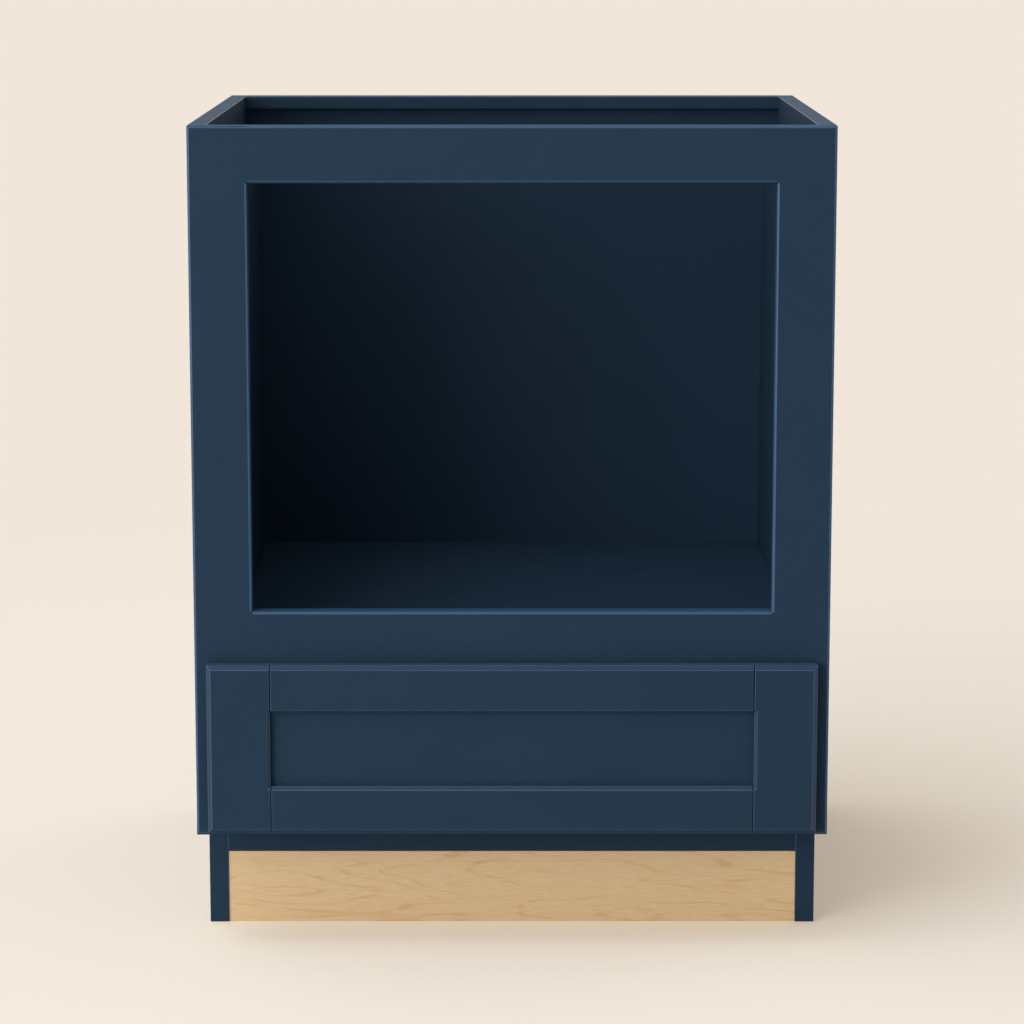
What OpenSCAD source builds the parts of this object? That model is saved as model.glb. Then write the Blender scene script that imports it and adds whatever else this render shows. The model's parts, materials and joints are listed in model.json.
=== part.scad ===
// Face-frame base cabinet for a built-in microwave, with one drawer below the opening.
// Millimetres. Z is up, the front faces -Y, and the origin is on the floor at the middle of the whole box.
// Pairs are drawn on the right (+X) and mirrored to the left.

/* [Cabinet] */
// Width over the side panels and the face frame
cab_w = 685.8; // [600:1:900]
// Depth from the face frame's front to the back
cab_d = 609.6; // [545:1:720]
// Height from the floor to the top edge
cab_h = 889; // [800:1:1000]
// Thickness of the side panels
side_t = 19.05; // [15:0.05:22]
// Thickness of the back panel
back_t = 12.7; // [9:0.1:16]
// Thickness of the bottom panel
bottom_t = 15.9; // [12:0.1:22]
// Depth of the grooves in the side panels
housing_depth = 6; // [3:0.5:9]
// Height of the rail along the top of the back
back_rail_h = 14.5; // [12:0.5:90]
// Depth of the rail along the top of the back
back_rail_t = 19.05; // [12:0.05:25]

/* [Microwave space] */
// Height of the microwave opening
oven_open_h = 460; // [380:1:490]
// Thickness of the deck that carries the microwave
deck_t = 19.05; // [12:0.05:25]
// How far the deck lies below the top of the middle rail
deck_drop = 32; // [0:1:40]
// Thickness of the liner panels inside the side panels
liner_t = 18; // [6:0.5:25]
// How far the liner panels stop below the cabinet top
liner_drop = 48; // [20:1:120]
// Depth of the rebates in the deck that the liner panels stand in
liner_rebate = 3; // [1:0.5:6]

/* [Face frame] */
// Thickness of the face frame
frame_t = 19.05; // [16:0.05:25]
// Width of the stiles
stile_w = 63.5; // [45:0.5:75]
// Height of the top rail
top_rail_h = 61; // [40:1:90]
// Height of the middle rail
mid_rail_h = 68.5; // [45:0.5:90]
// Height of the bottom rail
low_rail_h = 38.35; // [32:0.05:60]
// Bevel round the microwave opening and the outer edges of the frame
frame_arris = 1.5; // [0.5:0.1:3]
// Diameter of the dowels that join the frame
dowel_d = 8; // [6:1:10]
// Depth of a dowel hole in each piece
dowel_depth = 20; // [12:1:30]
// Distance from a rail's edge to its nearer dowel
dowel_edge = 11; // [8:0.5:14]

/* [Toe base] */
// Height of the toe base
toe_h = 120.65; // [90:0.05:150]
// How far the toe base stands back from the face frame's front
toe_recess = 76.2; // [50:0.1:100]
// How far the toe base is set in from each side
toe_inset = 6.6; // [0:0.1:20]
// Thickness of the legs
leg_t = 21; // [15:0.5:30]
// Height of the painted rail between the legs
toe_rail_h = 39.5; // [20:0.5:60]
// Thickness of the rail and boards of the toe base
toe_board_t = 18; // [12:0.5:22]
// How far the bare board stands back from the legs
toe_board_step = 1.5; // [0:0.1:5]
// How far the rear board stands in from the back
toe_back_inset = 40; // [20:1:100]

/* [Drawer front] */
// Thickness of the drawer front
front_t = 19.05; // [16:0.05:22]
// How far the drawer front covers the frame at each side
overlay_side = 49.6; // [15:0.1:58]
// How far the drawer front covers the middle rail
overlay_top = 12.9; // [12:0.1:30]
// How far the drawer front covers the bottom rail
overlay_low = 32; // [12:0.1:36]
// Width of the drawer front's stiles
front_stile_w = 68; // [45:0.5:90]
// Height of the drawer front's rails
front_rail_h = 52; // [35:0.5:60]
// Least height of the centre panel; a low drawer front has narrower rails instead
panel_min_h = 30; // [10:1:60]
// How far the centre panel lies behind the front face
panel_recess = 10; // [6:0.1:11]
// Thickness of the centre panel
panel_t = 6.35; // [4:0.05:7]
// Length of the tongues in the stiles and rails
tongue_len = 7; // [4:0.5:12]
// Bevel round the outside of the drawer front
front_bevel = 4.5; // [1:0.1:6]
// Bevel round the centre panel
sticking = 3; // [1:0.1:5]
// Depth of the V groove where stiles meet rails
vee = 0.8; // [0.3:0.1:1.5]
// Gap between the drawer front and the frame
pad_gap = 2; // [1.5:0.1:4]
// Diameter of the bumper pads
pad_d = 9; // [6:0.5:10]

/* [Drawer box] */
// Gap between the drawer box and the opening at each side
box_side_gap = 4.8; // [3:0.1:8]
// Thickness of the drawer box's boards
box_t = 15.9; // [12:0.1:19]
// Gap between the drawer box and the top of its opening
box_headroom = 25; // [8:0.5:40]
// Least height of the drawer box; in a low opening it takes up headroom instead
box_min_h = 35; // [30:1:60]
// Height of the drawer box above the bottom of its opening
box_lift = 14; // [13:0.1:18]
// Height of the box bottom above the lower edge of the sides
bottom_lip = 13; // [12:0.1:16]
// Thickness of the box bottom
box_bottom_t = 6.35; // [5:0.05:9]
// Depth of the groove that holds the box bottom
box_groove = 6; // [3:0.5:8]
// Target spacing of the dovetails
tail_pitch = 25.4; // [18:0.1:40]
// How much a dovetail widens on each side
tail_flare = 2.2; // [1:0.1:3]

/* [Runners] */
// Length of the cabinet runners
runner_len = 533.4; // [520:0.1:540]
// Difference between one stock length of runner and the next shorter one
runner_step = 76.2; // [50:0.1:100]
// Distance from the face frame's front to a runner
runner_setback = 3; // [1:0.5:6]
// Width of a runner's channel
channel_w = 30; // [28:0.5:34]
// Gap between the lower and the upper channel
channel_split = 5; // [4:0.1:7]
// Thickness of the runner steel
runner_t = 1.5; // [1:0.1:2]
// Width of the lips that close a channel
lip_w = 7; // [5:0.1:9]
// Gap between a channel and the drawer side
channel_gap = 1.7; // [1:0.1:4]
// Travel of the drawer
travel = 500; // [350:1:510]
// Thickness of the middle runner's flanges and web
flange_t = 3; // [2:0.1:4]
// Diameter of the balls
ball_d = 4; // [3:0.1:5]
// Balls in each row
ball_count = 6; // [3:1:12]
// Thickness of the ball cages
cage_t = 1; // [0.6:0.1:1.2]

/* [Clips and brackets] */
// Width of a locking clip
clip_w = 34; // [30:0.5:40]
// Length of a locking clip
clip_len = 50; // [44:0.5:60]
// Height of a locking clip
clip_h = 12; // [10:0.1:12.5]
// Thickness of a release lever
lever_t = 3; // [2:0.1:3.5]
// Diameter of a lever's pivot pin
pivot_d = 5; // [4:0.1:7]
// Length of a lever from its pivot to its finger pad
lever_reach = 32; // [26:0.5:36]
// Thickness of a rear bracket's walls
bracket_t = 2.8; // [2:0.1:4]
// Length of runner that a rear bracket holds
bracket_grip = 20; // [10:1:40]

/* [Screws] */
// Shank diameter of the wood screws
screw_d = 3.5; // [3:0.1:4]
// Head diameter of the wood screws
screw_head_d = 7; // [6:0.1:7.6]
// Head height of the wood screws
screw_head_h = 2.2; // [1.6:0.1:2.6]
// Length of the screws through the back panel
back_screw_len = 28; // [20:1:40]
// Length of the screws through the bottom panel
base_screw_len = 34; // [24:1:50]
// Length of the screws that hold the drawer front
front_screw_len = 26; // [20:1:30]
// Length of the runner and bracket screws
runner_screw_len = 12; // [8:0.5:13]
// Length of the screws that hold the clips
clip_screw_len = 14; // [8:0.5:17]

/* [Fits] */
// Clearance in glued joints
joint_gap = 0.1; // [0.05:0.01:0.3]
// Clearance round a screw
screw_gap = 0.05; // [0.02:0.01:0.2]
// Clearance between pieces that move past each other
run_gap = 0.3; // [0.2:0.05:0.5]
// Radial clearance of a lever on its pivot pin
pivot_gap = 0.05; // [0.03:0.01:0.1]

/* [Hidden] */

$fn = 32;
LEFT = -1;
RIGHT = 1;
NAVY = "#2a3f56";
BARE_PLY = "#d8b88c";
BOX_MAPLE = "#dcc298";
STEEL = "#b9bcbe";
CAGE_WHITE = "#d9d8d2";
CLIP_GREY = "#8c8f92";
LEVER_ORANGE = "#c2682c";
PAD_CLEAR = "#d5d6d2";
past = 1; // how far a cutter runs past the face it opens

// Depth: the frame's front, its back, the inside of the back panel and the back
proud = pad_gap + front_t;
face_y = (proud - cab_d) / 2;
frame_y = face_y + frame_t;
back_y = face_y + cab_d;
inside_y = back_y - back_t;

// Width: half sizes
outer_x = cab_w / 2;
inner_x = outer_x - side_t;
open_x = outer_x - stile_w;
housed_x = inner_x + housing_depth - joint_gap;

// Height
oven_z1 = cab_h - top_rail_h;
oven_z0 = oven_z1 - oven_open_h;
drawer_z1 = oven_z0 - mid_rail_h;
drawer_z0 = toe_h + low_rail_h;
deck_z1 = oven_z0 - deck_drop;
deck_z0 = deck_z1 - deck_t;
liner_z0 = deck_z1 - liner_rebate;
liner_x0 = inner_x - liner_t;

// Toe base
toe_y = face_y + toe_recess;
leg_x1 = outer_x - toe_inset;
leg_x0 = leg_x1 - leg_t;

// Drawer front
front_x = open_x + overlay_side;
front_in_x = front_x - front_stile_w;
front_y0 = face_y - proud;
front_y1 = face_y - pad_gap;
front_z0 = drawer_z0 - overlay_low;
front_z1 = drawer_z1 + overlay_top;
rail_h = min(front_rail_h, (front_z1 - front_z0 - panel_min_h) / 2);
panel_z0 = front_z0 + rail_h;
panel_z1 = front_z1 - rail_h;
panel_y = [front_y0 + panel_recess, front_y0 + panel_recess + panel_t];

// Runners that are too long for the cabinet's depth give way to a shorter stock length
runner_room = cab_d - back_t - runner_setback - bracket_t - run_gap;
steps_down = max(0, ceil((runner_len - runner_room) / runner_step));
slide_len = runner_len - steps_down * runner_step;
slide_travel = travel - steps_down * runner_step;

// Drawer box
box_x1 = open_x - box_side_gap;
box_x0 = box_x1 - box_t;
box_y0 = front_y1;
box_y1 = box_y0 + slide_len;
box_z0 = drawer_z0 + box_lift;
box_z1 = max(drawer_z1 - box_headroom, box_z0 + box_min_h);
floor_z0 = box_z0 + bottom_lip;
floor_z1 = floor_z0 + box_bottom_t;

// Runners: the channels lie under the box bottom, one on the frame and one on the drawer
channel_x = box_x0 - channel_gap - channel_w / 2;
stack_h = box_lift + bottom_lip;
runner_y0 = face_y + runner_setback;
runner_y1 = runner_y0 + slide_len;
mid_end = 15; // how far the middle runner stops short of the cabinet runner at each end
channel_h = (stack_h - channel_split) / 2;
flange_z = channel_h / 2;
race_w = ball_d + 2 * run_gap; // gap that the balls run in
flange_w = channel_w - 2 * runner_t - 2 * race_w;
race_x = (flange_w + race_w) / 2; // from the channel's middle to a row of balls
cage_end = 13; // spare length at the ends of a cage's path
cage_len = slide_len - slide_travel / 2 - 2 * mid_end - cage_end;
cage_y0 = runner_y0 + (slide_len - cage_len) / 2;
ball_y = [for (i = [0:ball_count - 1]) cage_y0 + (i + 0.5) * cage_len / ball_count];
side_flange_h = 12; // height of the flange that is screwed to the stile
hook_pin_r = 2.5;
hook_lift = 8; // height of the hook pin above the box bottom
hook_half_w = 6;
hook_pin_len = 8;
drawer_runner_y0 = box_y0 + box_t + runner_setback;

// Locking clips and levers
clip_x1 = channel_x - channel_w / 2;
clip_x0 = clip_x1 - clip_w;
clip_y0 = box_y0 + box_t;
clip_flange_t = 4;
clip_neck_w = 12;
clip_neck_l = 14;
clip_body_y0 = clip_y0 + clip_flange_t + clip_neck_l;
clip_z0 = floor_z0 - clip_h;
clip_screw_in = 5; // from the side of the clip to its screw
pivot_x = (clip_x0 + clip_x1) / 2;
pivot_inset = 10; // from the clip's rear end to the pivot
pivot_y = clip_y0 + clip_len - pivot_inset;
lever_z0 = clip_z0 - run_gap - lever_t;
hub_wall = 4.5;
hub_r = pivot_d / 2 + hub_wall;
lever_arm_w = 8;
finger_pad_w = 15;
finger_pad_l = 8;
finger_drop = 5; // how far the finger pad hangs below the lever
tooth_w = 6;
tooth_under = 4; // how far the lever's tooth reaches under the drawer runner
pivot_head_t = 1.2;
pivot_head_edge = 2; // how far the pin's head stands out past the pin

// Screw and dowel places
back_screw_x = [for (i = [-1.5:1:1.5]) i * cab_w / 4];
back_screw_z = [toe_h + bottom_t / 2, (deck_z0 + deck_z1) / 2, cab_h - back_rail_h / 2];
base_screw_x = [for (i = [-1:1]) i * cab_w / 3];
base_screw_y = [toe_y + toe_board_t / 2, back_y - toe_back_inset - toe_board_t / 2];
front_screw_x = [for (i = [-1.5:1:1.5]) i * box_x0 / 2];
screw_edge = 1; // between a screw's head and the edge beside it
front_screw_z = box_z1 - screw_head_d / 2 - screw_edge;
clip_screw_x = [clip_x0 + clip_screw_in, clip_x1 - clip_screw_in];
runner_screw_z = drawer_z0 + side_flange_h - screw_head_d / 2 - screw_edge;
bracket_screw_low = 8; // below and above the opening's lower edge
bracket_screw_high = 18;
bracket_screw_z = [drawer_z0 - bracket_screw_low, drawer_z0 + bracket_screw_high];
pad_x = open_x + overlay_side / 2;
pad_z = [drawer_z0 - overlay_low / 2, drawer_z1 + overlay_top / 2];
rail_spans = [[oven_z1, cab_h], [drawer_z1, oven_z0], [toe_h, drawer_z0]];

// ---- Shared shapes ----

// A board between the limits given on each axis
module slab(x, y, z) {
    translate([x[0], y[0], z[0]]) cube([x[1] - x[0], y[1] - y[0], z[1] - z[0]]);
}

// Draws the children on the side asked for
module on_side(side) {
    mirror([side == LEFT ? 1 : 0, 0, 0]) children();
}

// Square bar on its corner that bevels an edge along Z by c
module edge_along_z(x, y, c) {
    translate([x, y, 0]) rotate([0, 0, 45]) translate([-c / sqrt(2), -c / sqrt(2), 0])
        cube([c * sqrt(2), c * sqrt(2), cab_h + past]);
}

// Square bar on its corner that bevels an edge along X by c
module edge_along_x(y, z, c) {
    translate([-cab_w, y, z]) rotate([45, 0, 0]) translate([0, -c / sqrt(2), -c / sqrt(2)])
        cube([2 * cab_w, c * sqrt(2), c * sqrt(2)]);
}

// Bevelled mouth of a rectangular opening in the plane y
module mouth(x, y, z, c) {
    hull() {
        slab([-x - c - past, x + c + past], [y - past, y - past / 2], [z[0] - c - past, z[1] + c + past]);
        slab([-x, x], [y + c - past / 100, y + c], z);
    }
}

// Cylinder along X between two places
module round_x(x, y, z, r) {
    translate([x[0], y, z]) rotate([0, 90, 0]) cylinder(h = x[1] - x[0], r = r);
}

// Cylinder along Y between two places
module round_y(x, y, z, r) {
    translate([x, y[1], z]) rotate([90, 0, 0]) cylinder(h = y[1] - y[0], r = r);
}

// Wood screw that points down from its seat, with a countersunk or a pan head
module screw(length, flat, gap = 0) {
    r = screw_d / 2 + gap;
    head_r = screw_head_d / 2 + gap;
    tip = screw_d;
    translate([0, 0, -length + tip]) cylinder(h = length - tip + (gap > 0 ? past : 0), r = r);
    translate([0, 0, -length - gap]) cylinder(h = tip + gap, r1 = r / 4, r2 = r);
    if (flat) {
        translate([0, 0, -screw_head_h]) cylinder(h = screw_head_h, r1 = r, r2 = head_r);
        if (gap > 0) cylinder(h = past, r = head_r);
    } else {
        cylinder(h = screw_head_h + (gap > 0 ? past : 0), r1 = head_r, r2 = head_r * 0.7);
    }
}

module back_screws_at(gap = 0) {
    for (x = back_screw_x, z = back_screw_z)
        translate([x, back_y, z]) rotate([-90, 0, 0]) screw(back_screw_len, true, gap);
}

module base_screws_at(gap = 0) {
    for (x = base_screw_x, y = base_screw_y)
        translate([x, y, toe_h + bottom_t]) screw(base_screw_len, true, gap);
}

module front_screws_at(gap = 0) {
    for (x = front_screw_x)
        translate([x, box_y0 + box_t, front_screw_z]) rotate([-90, 0, 0]) screw(front_screw_len, false, gap);
}

module clip_screws_at(gap = 0) {
    for (side = [LEFT, RIGHT], x = clip_screw_x)
        on_side(side) translate([x, clip_y0 + clip_flange_t, (clip_z0 + floor_z0) / 2])
            rotate([-90, 0, 0]) screw(clip_screw_len, false, gap);
}

module runner_screws_at(gap = 0) {
    for (side = [LEFT, RIGHT])
        on_side(side) translate([open_x - runner_t, face_y + frame_t / 2, runner_screw_z])
            rotate([0, -90, 0]) screw(runner_screw_len, false, gap);
}

module bracket_screws_at(gap = 0) {
    for (side = [LEFT, RIGHT], z = bracket_screw_z)
        on_side(side) translate([channel_x, inside_y - bracket_t, z])
            rotate([90, 0, 0]) screw(runner_screw_len, false, gap);
}

module dowels_at(gap = 0) {
    for (side = [LEFT, RIGHT], span = rail_spans, z = [span[0] + dowel_edge, span[1] - dowel_edge])
        on_side(side) round_x([open_x - dowel_depth - gap, open_x + dowel_depth + gap],
            face_y + frame_t / 2, z, dowel_d / 2 + gap);
}

// ---- Carcass ----

// The panels that are housed in the sides, each larger all round by gap; the deck's is its lower, longer layer
module back_blank(gap = 0) {
    slab([-housed_x - gap, housed_x + gap], [inside_y - gap, back_y + gap], [toe_h - gap, cab_h + gap]);
}

module bottom_blank(gap = 0) {
    slab([-housed_x - gap, housed_x + gap], [frame_y - gap, inside_y + gap],
        [toe_h - gap, toe_h + bottom_t + gap]);
}

module deck_blank(gap = 0) {
    slab([-housed_x - gap, housed_x + gap], [frame_y - gap, inside_y + gap], [deck_z0 - gap, liner_z0 + gap]);
}

module side_panel(side) {
    color(NAVY) on_side(side) difference() {
        slab([inner_x, outer_x], [frame_y, back_y], [toe_h, cab_h]);
        back_blank(joint_gap);
        bottom_blank(joint_gap);
        deck_blank(joint_gap);
    }
}

module back_panel() {
    color(NAVY) difference() {
        back_blank();
        back_screws_at(screw_gap);
        bracket_screws_at(screw_gap);
    }
}

module back_top_rail() {
    color(NAVY) difference() {
        slab([-inner_x, inner_x], [inside_y - back_rail_t, inside_y], [cab_h - back_rail_h, cab_h]);
        back_screws_at(screw_gap);
    }
}

module bottom_panel() {
    color(NAVY) difference() {
        bottom_blank();
        back_screws_at(screw_gap);
        base_screws_at(screw_gap);
    }
}

module microwave_deck() {
    color(NAVY) difference() {
        union() {
            deck_blank();
            slab([-liner_x0 + joint_gap, liner_x0 - joint_gap], [frame_y, inside_y], [deck_z0, deck_z1]);
        }
        back_screws_at(screw_gap);
    }
}

module liner_panel(side) {
    color(NAVY) on_side(side)
        slab([liner_x0, inner_x], [frame_y, inside_y], [liner_z0, cab_h - liner_drop]);
}

// ---- Face frame ----

module stile(side) {
    color(NAVY) on_side(side) difference() {
        slab([open_x, outer_x], [face_y, frame_y], [toe_h, cab_h]);
        mouth(open_x, face_y, [oven_z0, oven_z1], frame_arris);
        edge_along_z(outer_x, face_y, frame_arris);
        for (z = [toe_h, cab_h]) edge_along_x(face_y, z, frame_arris);
        dowels_at(joint_gap);
        runner_screws_at(screw_gap);
    }
}

module frame_rail(z) {
    color(NAVY) difference() {
        slab([-open_x, open_x], [face_y, frame_y], z);
        mouth(open_x, face_y, [oven_z0, oven_z1], frame_arris);
        for (z = [toe_h, cab_h]) edge_along_x(face_y, z, frame_arris);
        dowels_at(joint_gap);
    }
}

// ---- Toe base ----

module toe_leg(side) {
    color(NAVY) on_side(side) slab([leg_x0, leg_x1], [toe_y, back_y], [0, toe_h]);
}

module toe_rail() {
    color(NAVY) difference() {
        slab([-leg_x0, leg_x0], [toe_y, toe_y + toe_board_t], [toe_h - toe_rail_h, toe_h]);
        base_screws_at(screw_gap);
    }
}

module toe_board() {
    color(BARE_PLY) slab([-leg_x0, leg_x0], [toe_y + toe_board_step, toe_y + toe_board_step + toe_board_t],
        [0, toe_h - toe_rail_h]);
}

module toe_rear_board() {
    color(BARE_PLY) difference() {
        slab([-leg_x0, leg_x0], [back_y - toe_back_inset - toe_board_t, back_y - toe_back_inset], [0, toe_h]);
        base_screws_at(screw_gap);
    }
}

// ---- Drawer front ----

// What every piece of the drawer front loses: outer bevels, the bevel round the panel, V grooves, screw holes
module front_cuts() {
    for (side = [LEFT, RIGHT]) {
        on_side(side) edge_along_z(front_x, front_y0, front_bevel);
        on_side(side) edge_along_z(front_in_x, front_y0, vee);
    }
    for (z = [front_z0, front_z1]) edge_along_x(front_y0, z, front_bevel);
    mouth(front_in_x, front_y0, [panel_z0, panel_z1], sticking);
    front_screws_at(screw_gap);
}

module front_stile(side) {
    color(NAVY) on_side(side) difference() {
        slab([front_in_x, front_x], [front_y0, front_y1], [front_z0, front_z1]);
        slab([front_in_x - past, front_in_x + tongue_len], [panel_y[0] - joint_gap, panel_y[1] + joint_gap],
            [front_z0 - past, front_z1 + past]);
        front_cuts();
    }
}

// A rail with its tongues, and the groove for the panel along its inner edge
module front_rail(z, groove_z) {
    tongue_x = front_in_x + tongue_len - joint_gap;
    color(NAVY) difference() {
        union() {
            slab([-front_in_x, front_in_x], [front_y0, front_y1], z);
            slab([-tongue_x, tongue_x], panel_y, z);
        }
        slab([-front_x, front_x], [panel_y[0] - joint_gap, panel_y[1] + joint_gap], groove_z);
        front_cuts();
    }
}

module front_top_rail() {
    front_rail([panel_z1, front_z1], [panel_z1 - past, panel_z1 + tongue_len]);
}

module front_bottom_rail() {
    front_rail([front_z0, panel_z0], [panel_z0 - tongue_len, panel_z0 + past]);
}

module front_panel() {
    reach = tongue_len - joint_gap;
    color(NAVY) difference() {
        slab([-front_in_x - reach, front_in_x + reach], panel_y, [panel_z0 - reach, panel_z1 + reach]);
        front_screws_at(screw_gap);
    }
}

// ---- Drawer box ----

// Dovetails on a side board, spread between two heights; they widen from y[0] to y[1]
module tails(y, z, gap = 0) {
    count = max(2, round((z[1] - z[0]) / tail_pitch));
    pitch = (z[1] - z[0]) / count;
    wide = pitch * 0.36 + gap;
    narrow = wide - tail_flare;
    end = y[1] + sign(y[1] - y[0]) * gap;
    for (i = [0:count - 1])
        translate([box_x0 - gap, 0, z[0] + (i + 0.5) * pitch]) rotate([90, 0, 90])
            linear_extrude(box_t + 2 * gap)
                polygon([[y[0], -narrow], [y[0], narrow], [end, wide], [end, -wide]]);
}

module front_tails(gap = 0) {
    tails([box_y0 + box_t, box_y0], [box_z0, box_z1], gap);
}

module back_tails(gap = 0) {
    tails([box_y1 - box_t, box_y1], [floor_z1, box_z1], gap);
}

module box_bottom_blank(gap = 0) {
    x = box_x0 + box_groove - joint_gap + gap;
    slab([-x, x], [box_y0 + box_t - box_groove + joint_gap - gap, box_y1 + gap],
        [floor_z0 - gap, floor_z1 + gap]);
}

module box_side(side) {
    color(BOX_MAPLE) on_side(side) difference() {
        union() {
            slab([box_x0, box_x1], [box_y0 + box_t, box_y1 - box_t], [box_z0, box_z1]);
            slab([box_x0, box_x1], [box_y1 - box_t, box_y1], [box_z0, floor_z1]);
            front_tails();
            back_tails();
        }
        box_bottom_blank(joint_gap);
    }
}

module box_front() {
    color(BOX_MAPLE) difference() {
        slab([-box_x1, box_x1], [box_y0, box_y0 + box_t], [box_z0, box_z1]);
        for (side = [LEFT, RIGHT]) on_side(side) front_tails(joint_gap);
        box_bottom_blank(joint_gap);
        front_screws_at(screw_gap);
        clip_screws_at(screw_gap);
    }
}

module box_back() {
    color(BOX_MAPLE) difference() {
        slab([-box_x1, box_x1], [box_y1 - box_t, box_y1], [floor_z1 + joint_gap, box_z1]);
        for (side = [LEFT, RIGHT]) {
            on_side(side) back_tails(joint_gap);
            on_side(side) round_y(channel_x, [box_y1 - hook_pin_len - past, box_y1 + past],
                floor_z1 + hook_lift, hook_pin_r + joint_gap);
        }
    }
}

module box_bottom() {
    color(BOX_MAPLE) box_bottom_blank();
}

// ---- Runners ----

// Open channel with lips, its floor at z = 0
module channel(y) {
    half = channel_w / 2;
    slab([channel_x - half, channel_x + half], y, [0, runner_t]);
    for (x = [[channel_x - half, channel_x - half + runner_t], [channel_x + half - runner_t, channel_x + half]])
        slab(x, y, [0, channel_h]);
    for (x = [[channel_x - half, channel_x - half + lip_w], [channel_x + half - lip_w, channel_x + half]])
        slab(x, y, [channel_h - runner_t, channel_h]);
}

// Puts a lower stage on the frame, or an upper stage upside down under the drawer
module stage(upper) {
    if (upper) translate([0, 0, drawer_z0 + stack_h]) mirror([0, 0, 1]) children();
    else translate([0, 0, drawer_z0]) children();
}

module cabinet_runner(side) {
    y = [runner_y0, runner_y1];
    color(STEEL) on_side(side) difference() {
        stage(false) {
            channel(y);
            slab([channel_x, open_x], y, [0, runner_t]);
            slab([open_x - runner_t, open_x], y, [0, side_flange_h]);
        }
        runner_screws_at(screw_gap);
    }
}

module middle_runner(side) {
    y = [runner_y0 + mid_end, runner_y1 - mid_end];
    web = [channel_x - flange_t / 2, channel_x + flange_t / 2];
    flange = [channel_x - flange_w / 2, channel_x + flange_w / 2];
    color(STEEL) on_side(side) union() {
        for (upper = [false, true]) stage(upper) {
            slab(flange, y, [flange_z - flange_t / 2, flange_z + flange_t / 2]);
            slab(web, y, [flange_z, stack_h / 2]);
        }
    }
}

module drawer_runner(side) {
    hook_x = [channel_x - hook_half_w, channel_x + hook_half_w];
    hook_y1 = box_y1 + joint_gap + runner_t;
    color(STEEL) on_side(side) union() {
        stage(true) channel([drawer_runner_y0, box_y1]);
        slab(hook_x, [box_y1 - past, hook_y1], [floor_z0 - runner_t, floor_z0]);
        slab(hook_x, [hook_y1 - runner_t, hook_y1], [floor_z0 - runner_t, floor_z1 + hook_lift + hook_half_w]);
        round_y(channel_x, [box_y1 - hook_pin_len, box_y1 + joint_gap + runner_t / 2], floor_z1 + hook_lift,
            hook_pin_r);
    }
}

// Balls of one stage, in two rows
module balls_at() {
    for (row = [-1, 1], y = ball_y)
        translate([channel_x + row * race_x, y, flange_z]) sphere(r = ball_d / 2);
}

// Cage between a flange and its channel: a floor strip with two walls that hold the balls
module ball_cage(side, upper) {
    y = [cage_y0, cage_y0 + cage_len];
    half = race_x + cage_t / 2;
    floor_bottom = runner_t + run_gap;
    color(CAGE_WHITE) on_side(side) stage(upper) difference() {
        union() {
            slab([channel_x - half, channel_x + half], y, [floor_bottom, floor_bottom + cage_t]);
            for (row = [-1, 1])
                slab([channel_x + row * race_x - cage_t / 2, channel_x + row * race_x + cage_t / 2], y,
                    [floor_bottom, channel_h - runner_t - run_gap]);
        }
        for (y = ball_y)
            round_x([channel_x - half - past, channel_x + half + past], y, flange_z, ball_d / 2 + screw_gap);
    }
}

module slide_balls(side, upper) {
    color(STEEL) on_side(side) stage(upper) balls_at();
}

// ---- Brackets, clips and levers ----

// Socket on the back panel that carries a cabinet runner's rear end
module rear_bracket(side) {
    x0 = clip_x1 - joint_gap - bracket_t;
    x1 = open_x + joint_gap + bracket_t;
    y = [runner_y1 - bracket_grip, inside_y];
    color(CLIP_GREY) on_side(side) difference() {
        union() {
            slab([x0, x1], y, [drawer_z0 - bracket_t, drawer_z0]);
            for (x = [[x0, x0 + bracket_t], [x1 - bracket_t, x1]])
                slab(x, y, [drawer_z0 - bracket_t, drawer_z0 + side_flange_h]);
            slab([x0, x1], [inside_y - bracket_t, inside_y],
                [bracket_screw_z[0] - screw_head_d, bracket_screw_z[1] + screw_head_d]);
        }
        bracket_screws_at(screw_gap);
    }
}

// Clip screwed to the box front: a flange, a neck between the screws, and a body that meets the drawer runner
module locking_clip(side) {
    z = [clip_z0, floor_z0];
    color(CLIP_GREY) on_side(side) difference() {
        union() {
            slab([clip_x0, clip_x1], [clip_y0, clip_y0 + clip_flange_t], z);
            slab([pivot_x - clip_neck_w / 2, pivot_x + clip_neck_w / 2], [clip_y0, clip_body_y0 + past], z);
            slab([clip_x0, clip_x1], [clip_body_y0, clip_y0 + clip_len], z);
            translate([pivot_x, pivot_y, lever_z0 - run_gap]) cylinder(h = lever_t + 2 * run_gap + past,
                r = pivot_d / 2);
            translate([pivot_x, pivot_y, lever_z0 - run_gap - pivot_head_t]) cylinder(h = pivot_head_t,
                r = pivot_d / 2 + pivot_head_edge);
        }
        clip_screws_at(screw_gap);
    }
}

// Lever on the clip's pivot pin: a hub, an arm to a finger pad, and a tooth under the drawer runner
module release_lever(side) {
    z = [lever_z0, lever_z0 + lever_t];
    pad_y = [pivot_y - lever_reach - finger_pad_l / 2, pivot_y - lever_reach + finger_pad_l / 2];
    color(LEVER_ORANGE) on_side(side) difference() {
        union() {
            translate([pivot_x, pivot_y, lever_z0]) cylinder(h = lever_t, r = hub_r);
            slab([pivot_x - lever_arm_w / 2, pivot_x + lever_arm_w / 2], [pad_y[0], pivot_y], z);
            slab([pivot_x - finger_pad_w / 2, pivot_x + finger_pad_w / 2], pad_y,
                [lever_z0 - finger_drop, lever_z0 + lever_t]);
            slab([pivot_x, clip_x1 + tooth_under], [pivot_y - tooth_w / 2, pivot_y + tooth_w / 2], z);
        }
        translate([pivot_x, pivot_y, lever_z0 - past]) cylinder(h = lever_t + 2 * past,
            r = pivot_d / 2 + pivot_gap);
    }
}

// ---- Small pieces ----

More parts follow.
